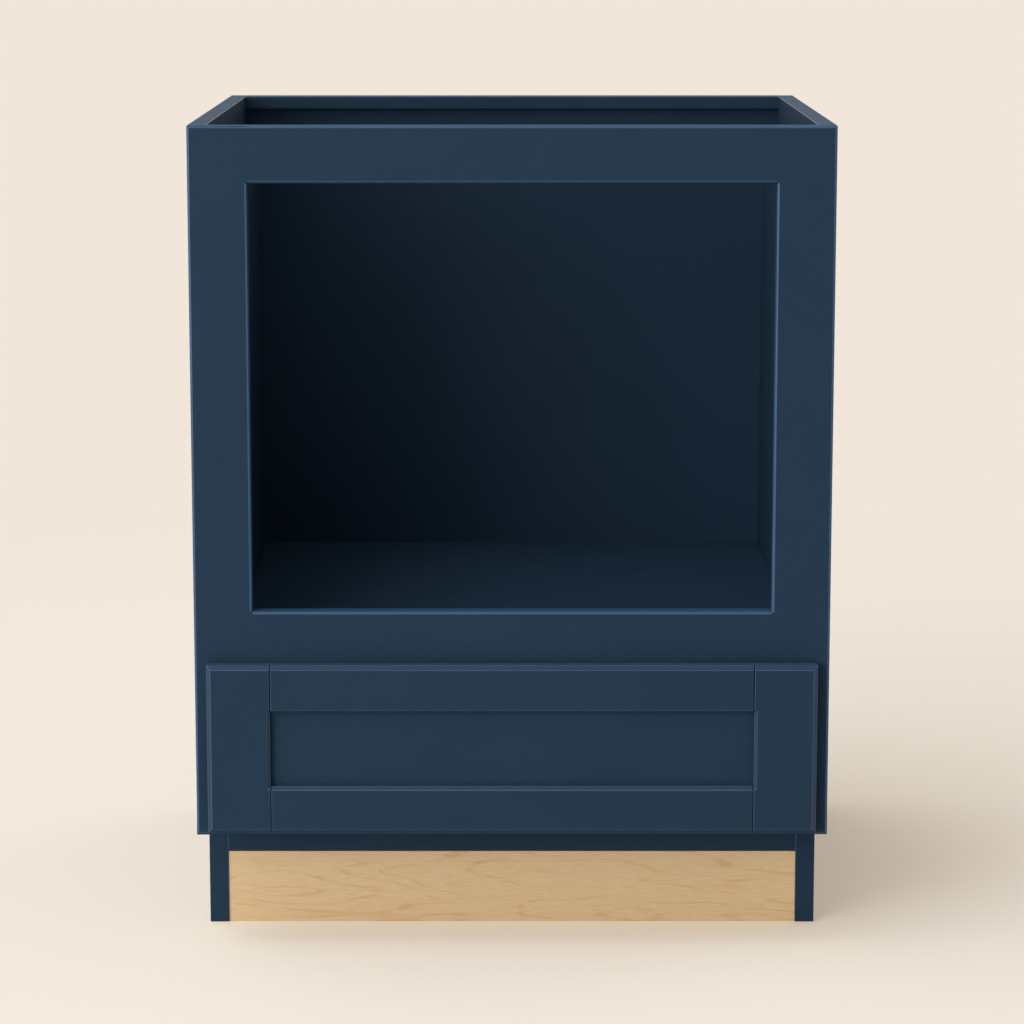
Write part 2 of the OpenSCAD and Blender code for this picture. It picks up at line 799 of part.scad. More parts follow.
module frame_dowels() {
    color(BOX_MAPLE) dowels_at();
}

module back_panel_screws() {
    color(STEEL) back_screws_at();
}

module base_screws() {
    color(STEEL) base_screws_at();
}

module front_screws() {
    color(STEEL) front_screws_at();
}

module clip_screws() {
    color(STEEL) clip_screws_at();
}

module runner_screws() {
    color(STEEL) runner_screws_at();
}

module bracket_screws() {
    color(STEEL) bracket_screws_at();
}

// Pads on the back of the drawer front, just short of the frame
module bumper_pads() {
    color(PAD_CLEAR) for (side = [LEFT, RIGHT], z = pad_z)
        on_side(side) round_y(pad_x, [front_y1, face_y - run_gap], z, pad_d / 2);
}

side_panel(LEFT);  // left_side_panel
side_panel(RIGHT);  // right_side_panel
back_panel();
back_top_rail();
bottom_panel();
microwave_deck();
liner_panel(LEFT);  // left_liner_panel
liner_panel(RIGHT);  // right_liner_panel
stile(LEFT);  // left_stile
stile(RIGHT);  // right_stile
frame_rail(rail_spans[0]);  // top_rail
frame_rail(rail_spans[1]);  // middle_rail
frame_rail(rail_spans[2]);  // bottom_rail
toe_leg(LEFT);  // left_toe_leg
toe_leg(RIGHT);  // right_toe_leg
toe_rail();
toe_board();
toe_rear_board();
front_stile(LEFT);  // front_left_stile
front_stile(RIGHT);  // front_right_stile
front_top_rail();
front_bottom_rail();
front_panel();
box_front();
box_back();
box_side(LEFT);  // box_left_side
box_side(RIGHT);  // box_right_side
box_bottom();
cabinet_runner(LEFT);  // left_cabinet_runner
cabinet_runner(RIGHT);  // right_cabinet_runner
middle_runner(LEFT);  // left_middle_runner
middle_runner(RIGHT);  // right_middle_runner
drawer_runner(LEFT);  // left_drawer_runner
drawer_runner(RIGHT);  // right_drawer_runner
ball_cage(LEFT, false);  // left_lower_cage
ball_cage(RIGHT, false);  // right_lower_cage
ball_cage(LEFT, true);  // left_upper_cage
ball_cage(RIGHT, true);  // right_upper_cage
slide_balls(LEFT, false);  // left_lower_balls
slide_balls(RIGHT, false);  // right_lower_balls
slide_balls(LEFT, true);  // left_upper_balls
slide_balls(RIGHT, true);  // right_upper_balls
rear_bracket(LEFT);  // left_rear_bracket
rear_bracket(RIGHT);  // right_rear_bracket
locking_clip(LEFT);  // left_locking_clip
locking_clip(RIGHT);  // right_locking_clip
release_lever(LEFT);  // left_release_lever
release_lever(RIGHT);  // right_release_lever
frame_dowels();
back_panel_screws();
base_screws();
front_screws();
clip_screws();
runner_screws();
bracket_screws();
bumper_pads();
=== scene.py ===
"""Looks of a painted face-frame base cabinet with a microwave opening and one drawer.

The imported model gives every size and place. Each board and fitting is dressed from its own node: edges are eased,
small parts that repeat are made by Geometry Nodes, and every surface gets the finish of its material.
Lengths are metres, Z is up and the front faces -Y.
"""
import json
import logging
import math
from dataclasses import dataclass, field
from enum import Enum, IntEnum
from functools import cache
from typing import Any

import bmesh
import bpy
from bmesh.types import BMEdge, BMesh, BMFace
from bpy.types import ID, Material, Mesh, Node, NodeSocket, NodeTree, Object
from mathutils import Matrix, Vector

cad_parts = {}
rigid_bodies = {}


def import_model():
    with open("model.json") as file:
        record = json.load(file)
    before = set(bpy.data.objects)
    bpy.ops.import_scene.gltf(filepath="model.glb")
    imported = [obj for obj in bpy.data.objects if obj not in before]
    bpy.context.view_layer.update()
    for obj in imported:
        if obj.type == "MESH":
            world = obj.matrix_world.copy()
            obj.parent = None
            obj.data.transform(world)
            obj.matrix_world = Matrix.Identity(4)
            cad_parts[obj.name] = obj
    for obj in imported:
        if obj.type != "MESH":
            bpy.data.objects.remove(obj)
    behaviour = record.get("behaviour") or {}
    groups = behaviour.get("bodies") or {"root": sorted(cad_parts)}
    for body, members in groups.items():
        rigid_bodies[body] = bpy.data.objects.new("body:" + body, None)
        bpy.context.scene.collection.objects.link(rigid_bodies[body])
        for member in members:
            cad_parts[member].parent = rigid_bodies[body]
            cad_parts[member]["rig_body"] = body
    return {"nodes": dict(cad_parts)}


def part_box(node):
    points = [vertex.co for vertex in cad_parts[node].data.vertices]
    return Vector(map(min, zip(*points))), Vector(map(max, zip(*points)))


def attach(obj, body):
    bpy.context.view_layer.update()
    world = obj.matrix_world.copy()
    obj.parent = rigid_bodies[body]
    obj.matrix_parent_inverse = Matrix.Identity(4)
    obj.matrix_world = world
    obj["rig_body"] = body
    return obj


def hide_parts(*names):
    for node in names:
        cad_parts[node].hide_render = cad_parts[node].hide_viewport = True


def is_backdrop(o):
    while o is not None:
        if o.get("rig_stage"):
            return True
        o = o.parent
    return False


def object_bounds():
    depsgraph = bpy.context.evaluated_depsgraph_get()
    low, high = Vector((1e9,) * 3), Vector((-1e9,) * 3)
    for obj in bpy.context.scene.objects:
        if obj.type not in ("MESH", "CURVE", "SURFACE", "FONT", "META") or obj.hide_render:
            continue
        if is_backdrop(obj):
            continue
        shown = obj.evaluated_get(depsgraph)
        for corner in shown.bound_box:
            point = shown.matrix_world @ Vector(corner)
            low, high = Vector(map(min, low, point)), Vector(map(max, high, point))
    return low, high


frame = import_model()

log = logging.getLogger("cabinet")

MM = 0.001
MERGE = 1e-6  # points of a node's mesh closer than this are one
TOUCH = 0.01 * MM  # points closer to a plane than this lie on it
END = 0.05 * MM  # points closer to the end of a small part than this belong to it
FLAT = math.radians(0.5)  # faces that meet flatter than this are one face
CREASE = math.radians(32)  # edges sharper than this stay crisp on round parts
NOISE = (0.3, 0.7)  # a noise pattern keeps mostly within this range
BLACK = (0.0, 0.0, 0.0, 1.0)
BELOW = -9.0  # less than any coordinate of a small part
DECIMALS = 4  # of a metre, by which the places of solids are put in order
SIDES = ("left_", "right_")
PREFIXES = ("ShaderNode", "GeometryNode", "FunctionNode", "")  # of the types of nodes

Inputs = dict[str | int, Any] | tuple[Any, ...]


class Axis(Enum):
    """Direction that a board's grain or a fitting's rolling lines run in."""

    X = 0
    Y = 1
    Z = 2


class Coat(IntEnum):
    """Coats of paint on one piece, in the order of its materials."""

    FACE = 0
    # lighter, glossier film on eased edges: a painted highlight
    ARRIS = 1
    # more matt film on faces that face up, painted paler as top light
    SAWN = 2
    BEVEL = 3


class Edge(Enum):
    """What shows on a board's cut edges: how squarely a surface faces an axis, as a range, and how much shows there."""

    PLIES = (0.15, 0.3, 1.0, 0.0)  # facing the thickness
    END_GRAIN = (0.6, 0.85, 0.0, 1.0)  # facing along the grain


class Head(Enum):
    """Shape of a screw's head."""

    COUNTERSUNK = 0
    PAN = 1


# ---- Helpers ----


def linear(code: str) -> tuple[float, float, float, float]:
    """Turns an sRGB colour into the linear one that shaders take.

    Args:
        code: Colour such as "#2a3f56".

    Returns:
        Linear red, green and blue, and an alpha of 1.
    """
    parts = [int(code[i:i + 2], 16) / 255 for i in (1, 3, 5)]
    red, green, blue = (p / 12.92 if p <= 0.04045 else ((p + 0.055) / 1.055) ** 2.4 for p in parts)
    return (red, green, blue, 1.0)


def fill(node: Node, inputs: Inputs) -> None:
    """Fills or links a node's inputs.

    Args:
        node: The node.
        inputs: What goes into each input, by its name or number, or into the first ones in turn: a plain value, a
            socket, or a node, which stands for its first output in use. A list of nodes or sockets is linked one
            after the other. A mix node takes its share at 0, numbers at 2 and 3, and colours at 6 and 7.
    """
    for key, value in inputs.items() if isinstance(inputs, dict) else enumerate(inputs):
        for source in value if isinstance(value, list) else [value]:
            if isinstance(source, Node):
                source = next(socket for socket in source.outputs if socket.enabled)
            if isinstance(source, NodeSocket):
                node.id_data.links.new(source, node.inputs[key])
            else:
                node.inputs[key].default_value = source


def add(tree: NodeTree, kind: str, inputs: Inputs = (), operation: str = "", **settings: Any) -> Node:
    """Adds a node, sets its properties, and fills or links its inputs.

    Args:
        tree: Node tree that gets the node.
        kind: Blender's name for the node's type, without its prefix.
        inputs: What goes into its inputs, as fill takes it.
        operation: What a math node does.
        **settings: Other properties of the node.

    Returns:
        The new node.
    """
    node = tree.nodes.new(next(prefix + kind for prefix in PREFIXES if hasattr(bpy.types, prefix + kind)))
    for name, value in (settings | ({"operation": operation} if operation else {})).items():
        setattr(node, name, value)
    fill(node, inputs)
    return node


def show(name: str, data: ID) -> Object:
    """Makes an object of a mesh, a light or a camera, and links it to the scene.

    Args:
        name: Its name.
        data: The mesh, light or camera.

    Returns:
        The object.
    """
    thing = bpy.data.objects.new(name, data)
    bpy.context.scene.collection.objects.link(thing)
    return thing


def put(mesh: Mesh, node: str) -> Object:
    """Makes a piece of a finished mesh, lets it ride on its node's body and stand for the node.

    Args:
        mesh: Mesh in place and with its material; the piece takes its name.
        node: CAD node that it stands for.

    Returns:
        The piece.
    """
    source = frame["nodes"][node]
    piece = show(mesh.name, mesh)
    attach(piece, source["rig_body"])
    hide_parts(node)
    return piece


def merged(node: str) -> BMesh:
    """Copies a node's mesh, with its loose triangles joined and its flat faces whole.

    Args:
        node: The CAD node.

    Returns:
        The copy.
    """
    work = bmesh.new()
    work.from_mesh(frame["nodes"][node].data)
    bmesh.ops.remove_doubles(work, verts=work.verts, dist=MERGE)
    bmesh.ops.dissolve_limit(work, angle_limit=FLAT, verts=work.verts, edges=work.edges)
    return work


def middle(points: list[Vector]) -> Vector:
    """Middle of the box round some points."""
    return Vector([(min(p[i] for p in points) + max(p[i] for p in points)) / 2 for i in range(3)])


def solids(node: str) -> list[list[Vector]]:
    """Finds the separate solids in a node.

    Args:
        node: The CAD node.

    Returns:
        Points of each solid, in the order of the solids' places.
    """
    work = merged(node)
    left = set(work.verts)
    found: list[list[Vector]] = []
    while left:
        stack = [left.pop()]
        points = []
        while stack:
            vert = stack.pop()
            points.append(vert.co.copy())
            for other in [edge.other_vert(vert) for edge in vert.link_edges]:
                if other in left:
                    left.remove(other)
                    stack.append(other)
        found.append(points)
    work.free()
    return sorted(found, key=lambda points: tuple(round(c, DECIMALS) for c in middle(points)))


@dataclass(frozen=True)
class Ease:
    """How a piece's edges are rounded."""

    radius: float = 0.6 * MM
    segments: int = 3
    shortest: float = 6 * MM  # a shorter edge stays sharp
    least_angle: float = math.radians(25)  # and so does a flatter one
    seams: tuple[float, ...] = ()  # upright planes across the width on which the piece is glued to others
    glued: tuple[tuple[float, float], ...] = ()  # heights between which it is; none means all the way
    chamfer: float = 0.0  # a face narrower than this is an eased edge already
    clamped: bool = True  # whether narrow places make the radius smaller
    level: float = 0.9  # upright part of the normal above which a face lies level and takes the paler film, painted top light
    moulded: float = 3 * MM  # a sloping face wider than this is a moulded bevel
    under: float = -0.2  # upright part of the normal below which a face keeps the plain film: a face that looks down gets no painted highlight

    def narrow(self, face: BMFace) -> bool:
        """Says whether a face is an eased edge already."""
        return 2 * face.calc_area() < self.chamfer * face.calc_perimeter()

    def takes(self, edge: BMEdge) -> bool:
        """Says whether an edge is rounded.

        Args:
            edge: Edge of the piece.

        Returns:
            True for a long, sharp edge that lies in no glued seam.
        """
        if not edge.is_manifold or edge.calc_length() < self.shortest or edge.calc_face_angle(0.0) < self.least_angle:
            return False
        if any(self.narrow(face) for face in edge.link_faces):
            return False
        height = sum(vert.co.z for vert in edge.verts) / 2
        if self.glued and not any(low < height < high for low, high in self.glued):
            return True
        return not any(all(abs(vert.co.x - seam) < TOUCH for vert in edge.verts) for seam in self.seams)

    def coat(self, face: BMFace) -> Coat:
        """Chooses the coat of paint for a face: the paler film, painted top light, where it faces up; the lighter arris
        film, a painted highlight, on eased edges that don't look down; the glossier film on wide sloping bevels; and
        the plain film elsewhere.

        Args:
            face: Face of a painted piece.

        Returns:
            The coat.
        """
        if face.normal.z < self.under:
            return Coat.FACE
        if face.normal.z > self.level:
            return Coat.SAWN
        if face.material_index == Coat.ARRIS:
            return Coat.ARRIS
        wide = 2 * face.calc_area() > self.moulded * face.calc_perimeter()
        return Coat.BEVEL if wide and max(map(abs, face.normal)) < self.level else Coat.FACE

    def shape(self, node: str, *coats: Material, smooth: bool = False) -> Mesh:
        """Makes a node's mesh again with rounded edges.

        Args:
            node: The CAD node.
            *coats: Finish of the faces, and of as many of the other coats as the piece has.
            smooth: Whether curved walls are shaded round.

        Returns:
            The new mesh, in place.
        """
        painted = len(coats) > 1
        work = merged(node)
        for height in {height for span in self.glued for height in span}:
            bmesh.ops.bisect_plane(work, geom=work.verts[:] + work.edges[:] + work.faces[:], plane_co=(0, 0, height),
                                   plane_no=(0, 0, 1))
        # Chamfers and the rounded faces that the bevel makes take the lighter arris film, a painted highlight
        for face in work.faces:
            face.material_index = Coat.ARRIS if painted and self.narrow(face) else Coat.FACE
        taken = [edge for edge in work.edges if self.takes(edge)]
        bmesh.ops.bevel(work, geom=taken, offset=self.radius, offset_type="OFFSET", segments=self.segments, profile=0.5,
                        affect="EDGES", clamp_overlap=self.clamped, material=Coat.ARRIS if painted else -1)
        # Faces that face up then take the paler film, painted top light, and faces that look down keep the plain film
        if painted:
            for face in work.faces:
                coat = self.coat(face)
                face.material_index = coat if coat < len(coats) else Coat.FACE
        mesh = bpy.data.meshes.new(node + "_dressed")
        work.to_mesh(mesh)
        work.free()
        for finish in coats:
            mesh.materials.append(finish)
        if smooth:
            mesh.shade_smooth()
            mesh.set_sharp_from_angle(angle=CREASE)
        return mesh

    def dress(self, nodes: tuple[str, ...], *coats: Material, smooth: bool = False) -> list[Object]:
        """Makes the piece of each node, with its edges rounded and its finish on."""
        return [put(self.shape(node, *coats, smooth=smooth), node) for node in nodes]


# ---- Finishes ----


def scaled(tree: NodeTree, lengths: tuple[float, ...], **others: float) -> Inputs:
    """Gives the inputs of a pattern on Object coordinates.

    Args:
        tree: Node tree that gets the pattern.
        lengths: Length on each axis in which it repeats about once.
        **others: Its other inputs.

    Returns:
        The inputs.
    """
    place = add(tree, "TexCoord").outputs["Object"]
    vector = add(tree, "VectorMath", (place, tuple(1 / length for length in lengths)), "MULTIPLY")
    return {"Vector": vector, "Scale": 1.0} | others


def along(axis: Axis, length: float, width: float) -> tuple[float, ...]:
    """Three lengths, the long one on the grain's axis."""
    return tuple(length if i == axis.value else width for i in range(3))


@dataclass(frozen=True)
class Finish:
    """What every finish has: the real material's name, its roughness, its relief and a principled shader."""

    name: str = "finish"
    roughness: tuple[float, float] = (0.4, 0.6)
    relief: float = 0.03 * MM
    specular: float = 0.5

    def start(self, variant: str = "") -> tuple[Material, NodeTree]:
        """Starts a material.

        Args:
            variant: End of its name.

        Returns:
            The material and its nodes.
        """
        material = bpy.data.materials.new(self.name + variant)
        material.use_nodes = True
        return material, material.node_tree

    def end(self, material: Material, colour: Node, gloss: Node, height: Node, constants: Inputs) -> Material:
        """Ends a material with its shader.

        Args:
            material: The material.
            colour: Pattern of its colour.
            gloss: Pattern of its roughness: a noise from 0 to 1.
            height: Pattern of its relief.
            constants: Shader inputs that are the same all over.

        Returns:
            The material.
        """
        tree = material.node_tree
        rough = add(tree, "MapRange", (gloss, *NOISE, *self.roughness))
        bump = add(tree, "Bump", {"Height": height, "Strength": 1.0, "Distance": self.relief})
        fill(tree.nodes["Principled BSDF"], {"Base Color": colour, "Roughness": rough, "Normal": bump,
                                             "Specular IOR Level": self.specular} | constants)
        return material


@dataclass(frozen=True)
class SatinEnamel(Finish):
    """Sprayed satin enamel: an even film with a faint orange peel, and a hint of the wood's grain under it."""

    name: str = "satin_enamel"
    roughness: tuple[float, float] = (0.42, 0.56)
    specular: float = 0.05
    film: str = "#2b4156"
    deep: str = "#213244"
    peel: float = 1.8 * MM
    cloud: float = 90 * MM
    speckle: float = 0.7  # share of the peel, beside the clouds, in the colour
    grain_length: float = 60 * MM
    grain_width: float = 1.2 * MM  # real pores are 0.1 mm wide; drawn as coarse as they need to show
    telegraphed: float = 0.4  # height of the grain beside the peel

    @cache
    def material(self, grain: Axis) -> Material:
        """Builds the enamel.

        Args:
            grain: Axis along which the grain of the wood under it runs.

        Returns:
            The material.
        """
        material, tree = self.start("_grain_" + grain.name.lower())
        cloud, peel, fibre = [
            add(tree, "TexNoise", scaled(tree, lengths, Detail=detail))
            for lengths, detail in (((self.cloud,) * 3, 3.0), ((self.peel,) * 3, 2.0),
                                    (along(grain, self.grain_length, self.grain_width), 3.0))]
        tone = add(tree, "Mix", {0: self.speckle, 2: cloud, 3: peel})
        colour = add(tree, "Mix", {0: tone, 6: linear(self.deep), 7: linear(self.film)}, data_type="RGBA")
        height = add(tree, "Math", (fibre, self.telegraphed, peel), "MULTIPLY_ADD")
        return self.end(material, colour, fibre, height, {})


@dataclass(frozen=True)
class Maple(Finish):
    """Sliced veneer or solid maple: pale, with long wavy lines of late wood, fine silky fibres and short dark flecks.

    The cut edges show either the plies of plywood or end grain, which is darker and duller.
    """

    roughness: tuple[float, float] = (0.5, 0.66)
    relief: float = 0.05 * MM
    specular: float = 0.35
    light: str = "#edcda1"
    late: str = "#dfb37e"
    stain: str = "#e2bd8b"
    fleck: str = "#c79a68"
    edge_dark: str = "#a8845c"
    ring_length: float = 360 * MM
    ring_width: float = 52 * MM
    rings: float = 13.0
    wander: float = 0.12  # how far streaks push the rings' lines aside
    line: tuple[tuple[float, float], ...] = ((0.6, 0.04), (0.82, 0.3), (0.92, 1.0))  # darkness across one ring
    fading: tuple[float, float] = (0.35, 0.65)  # streaks between which a line comes out
    fibre_length: float = 14 * MM
    fibre_width: float = 0.8 * MM  # real fibres are 0.05 mm wide; drawn as coarse as they need to show
    streak: float = 6.0  # streaks are this many times as large as fibres
    stained: tuple[float, float] = (0.3, 0.75)  # fibres between which the stain comes out
    fleck_length: float = 14 * MM
    fleck_width: float = 2.4 * MM
    fleck_rim: tuple[float, float] = (0.06, 0.16)
    fleck_strength: float = 0.4
    ply: float = 1.4 * MM
    glue: tuple[float, float] = (0.35, 0.65)  # part of a ply over which it turns from light to dark
    pores: float = 1.2 * MM
    coat: float = 0.0
    coat_roughness: float = 0.22

    def material(self, grain: Axis, thickness: Axis, edge: Edge) -> Material:
        """Builds the wood of one board.

        Args:
            grain: Axis that the fibres run along.
            thickness: Axis across the board's faces.
            edge: What the cut edges show.

        Returns:
            The material.
        """
        material, tree = self.start(f"_{edge.name}_{grain.name}{thickness.name}".lower())
        wave = add(tree, "TexNoise", scaled(tree, along(grain, self.ring_length, self.ring_width), Detail=2.0,
                                            Roughness=0.4, Distortion=0.25))
        fibre, streak = [
            add(tree, "TexNoise", scaled(tree, along(grain, self.fibre_length * times, self.fibre_width * times),
                                         Detail=3.0)) for times in (1.0, self.streak)]
        rings = add(tree, "Math", (wave, self.rings), "MULTIPLY")
        rings = add(tree, "Math", (streak, self.wander, rings), "MULTIPLY_ADD")
        rings = add(tree, "Math", (rings,), "FRACT")
        line = add(tree, "FloatCurve", {"Value": rings})
        curve = line.mapping.curves[0]
        for place, height in self.line:
            curve.points.new(place, height)
        curve.points[-1].location = (1.0, 0.0)
        line.mapping.update()
        strength = add(tree, "MapRange", (streak, *self.fading))
        late = add(tree, "Math", (line, strength), "MULTIPLY")
        dot = add(tree, "TexVoronoi", scaled(tree, along(grain, self.fleck_length, self.fleck_width)))
        flecks = add(tree, "MapRange", (dot, *self.fleck_rim, self.fleck_strength, 0.0))
        face: Any = linear(self.light)
        for share, shade in ((add(tree, "MapRange", (fibre, *self.stained)), self.stain), (late, self.late),
                             (flecks, self.fleck)):
            face = add(tree, "Mix", {0: share, 6: face, 7: linear(shade)}, data_type="RGBA")
        colour = self.edges(tree, face, grain, thickness, edge)
        coat = {"Coat Weight": self.coat, "Coat Roughness": self.coat_roughness}
        return self.end(material, colour, fibre, fibre, coat)

    def edges(self, tree: NodeTree, face: Node, grain: Axis, thickness: Axis, edge: Edge) -> Node:
        """Draws plies or end grain where the surface is a cut edge.

        Args:
            tree: The material's nodes.
            face: Colour of the board's faces.
            grain: Axis that the fibres run along.
            thickness: Axis across the board's faces.
            edge: What the cut edges show.

        Returns:
            Colour of the whole board.
        """
        if edge is Edge.PLIES:
            place = add(tree, "SeparateXYZ", (scaled(tree, (self.ply,) * 3)["Vector"],)).outputs[thickness.value]
            layer = add(tree, "Math", (place, 1.0), "PINGPONG")
            layer = add(tree, "MapRange", (layer, *self.glue))
        else:
            layer = add(tree, "TexNoise", scaled(tree, (self.pores,) * 3, Detail=2.0))
        normal = add(tree, "NewGeometry").outputs["True Normal"]
        across = along(thickness if edge is Edge.PLIES else grain, 1.0, 0.0)
        facing = add(tree, "VectorMath", (normal, across), "DOT_PRODUCT")
        facing = add(tree, "Math", (facing,), "ABSOLUTE")
        cut = add(tree, "MapRange", (facing, *edge.value))
        end = add(tree, "Mix", {0: layer, 6: linear(self.late), 7: linear(self.edge_dark)}, data_type="RGBA")
        return add(tree, "Mix", {0: cut, 6: face, 7: end}, data_type="RGBA")


@dataclass(frozen=True)
class Metal(Finish):
    """Steel part: bright zinc plate over rolled sheet, or a polished ball."""

    name: str = "zinc_plated_steel"
    roughness: tuple[float, float] = (0.26, 0.4)
    relief: float = 0.01 * MM
    bright: str = "#c3c6c8"
    dull: str = "#aeb2b5"
    spangle: float = 5 * MM
    line: tuple[float, float] = (30 * MM, 0.5 * MM)
    lined: float = 0.7  # share of the rolling lines, beside the spangle, in the gloss

    def material(self, rolled: Axis) -> Material:
        """Builds the metal.

        Args:
            rolled: Axis along which its rolling lines run.

        Returns:
            The material.
        """
        material, tree = self.start("_rolled_" + rolled.name.lower())
        patch = add(tree, "TexVoronoi", scaled(tree, (self.spangle,) * 3))
        tone = add(tree, "SeparateColor", (patch.outputs["Color"],))
        line = add(tree, "TexNoise", scaled(tree, along(rolled, *self.line), Detail=3.0))
        colour = add(tree, "Mix", {0: tone, 6: linear(self.bright), 7: linear(self.dull)}, data_type="RGBA")
        gloss = add(tree, "Mix", {0: self.lined, 2: tone, 3: line})
        return self.end(material, colour, gloss, line, {"Metallic": 1.0})


@dataclass(frozen=True)
class Moulding(Finish):
    """Moulded plastic: spark-eroded texture with soft cloudy gloss, or a clear soft pad."""

    roughness: tuple[float, float] = (0.42, 0.56)
    base: str = "#8c8f92"
    flow: str = "#85888b"
    cloud: float = 9 * MM
    texture: float = 0.5 * MM  # the real grain is 0.1 mm; drawn as coarse as it needs to show
    index: float = 1.52
    clear: float = 0.0
    glow: float = 0.0
    glow_depth: float = 1.5 * MM

    @cache
    def material(self) -> Material:
        """Builds the plastic, with faint flow clouds and the mould's fine texture.

        Returns:
            The material.
        """
        material, tree = self.start()
        cloud, grain = [add(tree, "TexNoise", scaled(tree, (size,) * 3, Detail=2.0))
                        for size in (self.cloud, self.texture)]
        colour = add(tree, "Mix", {0: cloud, 6: linear(self.flow), 7: linear(self.base)}, data_type="RGBA")
        return self.end(material, colour, grain, grain, {
            "IOR": self.index, "Transmission Weight": self.clear, "Subsurface Weight": self.glow,
            "Subsurface Scale": self.glow_depth})


@dataclass(frozen=True)
class Finishes:
    """All the finishes of the cabinet."""

    # Satin enamel: deep blue with soft, broad highlights and no mirror
    enamel: SatinEnamel = SatinEnamel()
    # The same film on eased edges, glossier, and painted lighter as a highlight along the arrises
    arris: SatinEnamel = SatinEnamel(name="satin_enamel_arris", film="#3b5d81", deep="#355474", roughness=(0.24, 0.34),
                                     specular=0.3)
    # The same film on faces that face up, mostly the cut top edges of boards: more matt, and painted paler as top light
    sawn: SatinEnamel = SatinEnamel(name="satin_enamel_sawn_edge", film="#3a5a76", deep="#34516a", specular=0.02)
    # The same film on a moulded bevel, rubbed to a soft shine, so the bevel that faces the light stands out
    bevel: SatinEnamel = SatinEnamel(name="satin_enamel_bevel", film="#26405a", deep="#213850", roughness=(0.26, 0.36),
                                     specular=0.22)
    # Bare sanded plywood: matt and pale, so it reads warm beside the blue
    plywood: Maple = Maple(name="bare_maple_plywood")
    # Solid maple under clear lacquer: the coat gives soft highlights along the drawer's sides
    lacquered: Maple = Maple(name="lacquered_maple", light="#e3c79e", late="#d2ae7d", stain="#dcbd90",
                             roughness=(0.4, 0.52), coat=0.35, ring_width=30 * MM)
    # Beech: pinker than maple, with many short flecks
    beech: Maple = Maple(name="beech", light="#d9af83", late="#c99a6b", stain="#d1a475", fleck="#9c6b42",
                         ring_width=9 * MM, fibre_width=0.4 * MM)
    # Zinc plate over rolled sheet: a cool soft sheen that breaks up along the rolling lines
    zinc: Metal = Metal()
    # Zinc-plated wire: slightly warmer and glossier than the sheet
    screw: Metal = Metal(name="zinc_plated_screw_steel", bright="#c6c3b8", dull="#a8a69d", roughness=(0.2, 0.34),
                         spangle=1.5 * MM, line=(4 * MM, 0.3 * MM))
    # Ground and polished bearing steel: nearly a mirror
    ball: Metal = Metal(name="polished_bearing_steel", bright="#cfd1d3", dull="#c2c4c6", roughness=(0.06, 0.12),
                        spangle=2 * MM, line=(1 * MM, 1 * MM), relief=0.001 * MM)
    # Natural nylon: milky and slightly waxy
    nylon: Moulding = Moulding(name="moulded_nylon", base="#dcdcd6", flow="#d2d2ca", roughness=(0.36, 0.5), glow=0.25)
    # Grey ABS with a spark-eroded texture: matt, with a faint sparkle
    grey: Moulding = Moulding(name="moulded_grey_abs")
    # Orange ABS of the same texture, so that the levers are found at a glance
    orange: Moulding = Moulding(name="moulded_orange_abs", base="#c8692b", flow="#c06228")
    # Soft clear polyurethane: milky glass with a gentle shine
    clear: Moulding = Moulding(name="clear_polyurethane", base="#e6e7e2", flow="#dcddd8", roughness=(0.16, 0.26),
                               texture=1.5 * MM, relief=0.01 * MM, clear=0.75)

    def paint(self, grain: Axis, last: Coat) -> list[Material]:
        """Coats of paint on a piece, up to the last that it has: the plain film, the lighter arris film that is a
        painted highlight, the paler film that is painted top light, and the glossier bevel film; the grain shows
        through on its faces alone.
        """
        extra_films = (self.arris, self.sawn, self.bevel)[:last]
        return [self.enamel.material(grain), *(film.material(Axis.X) for film in extra_films)]


# ---- Boards ----


@dataclass
class Carcass:
    """Side panels, back, bottom, deck and liners of the box, painted inside and out."""

    finishes: Finishes
    uprights: tuple[str, ...] = ("left_side_panel", "right_side_panel", "back_panel", "left_liner_panel",
                                 "right_liner_panel")
    levels: tuple[str, ...] = ("back_top_rail", "bottom_panel", "microwave_deck")
    ease: Ease = Ease(radius=0.7 * MM)

    def build(self) -> None:
        """Dresses the panels: grain upright in the sides and back, and across in the deck, bottom and rail."""
        self.ease.dress(self.uprights, *self.finishes.paint(Axis.Z, Coat.SAWN))
        self.ease.dress(self.levels, *self.finishes.paint(Axis.X, Coat.ARRIS))


@dataclass
class FaceFrame:
    """Two stiles and three rails in one plane; their joints are filled, sanded and painted over."""

    finishes: Finishes
    stiles: tuple[str, ...] = ("left_stile", "right_stile")
    rails: tuple[str, ...] = ("top_rail", "middle_rail", "bottom_rail")
    arris: float = 1.1 * MM

    def build(self) -> None:
        """Dresses the frame, with no easing at the joints between stiles and rails."""
        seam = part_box("top_rail")[1][0]
        glued = tuple((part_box(rail)[0][2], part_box(rail)[1][2]) for rail in self.rails)
        for nodes, grain, spans in ((self.stiles, Axis.Z, glued), (self.rails, Axis.X, ())):
            ease = Ease(radius=self.arris, seams=(seam, -seam), glued=spans, clamped=False)
            ease.dress(nodes, *self.finishes.paint(grain, Coat.SAWN))


@dataclass
class ToeBase:
    """Legs and toe rail in paint, and two boards of bare plywood between them."""

    finishes: Finishes
    legs: tuple[str, ...] = ("left_toe_leg", "right_toe_leg")
    boards: tuple[str, ...] = ("toe_board", "toe_rear_board")
    ease: Ease = Ease(radius=0.5 * MM)
    board_ease: Ease = Ease(radius=0.4 * MM)

    def build(self) -> None:
        """Dresses the base."""
        self.ease.dress(self.legs, *self.finishes.paint(Axis.Z, Coat.ARRIS))
        self.ease.dress(("toe_rail",), *self.finishes.paint(Axis.X, Coat.ARRIS))
        self.board_ease.dress(self.boards, self.finishes.plywood.material(Axis.X, Axis.Y, Edge.PLIES))


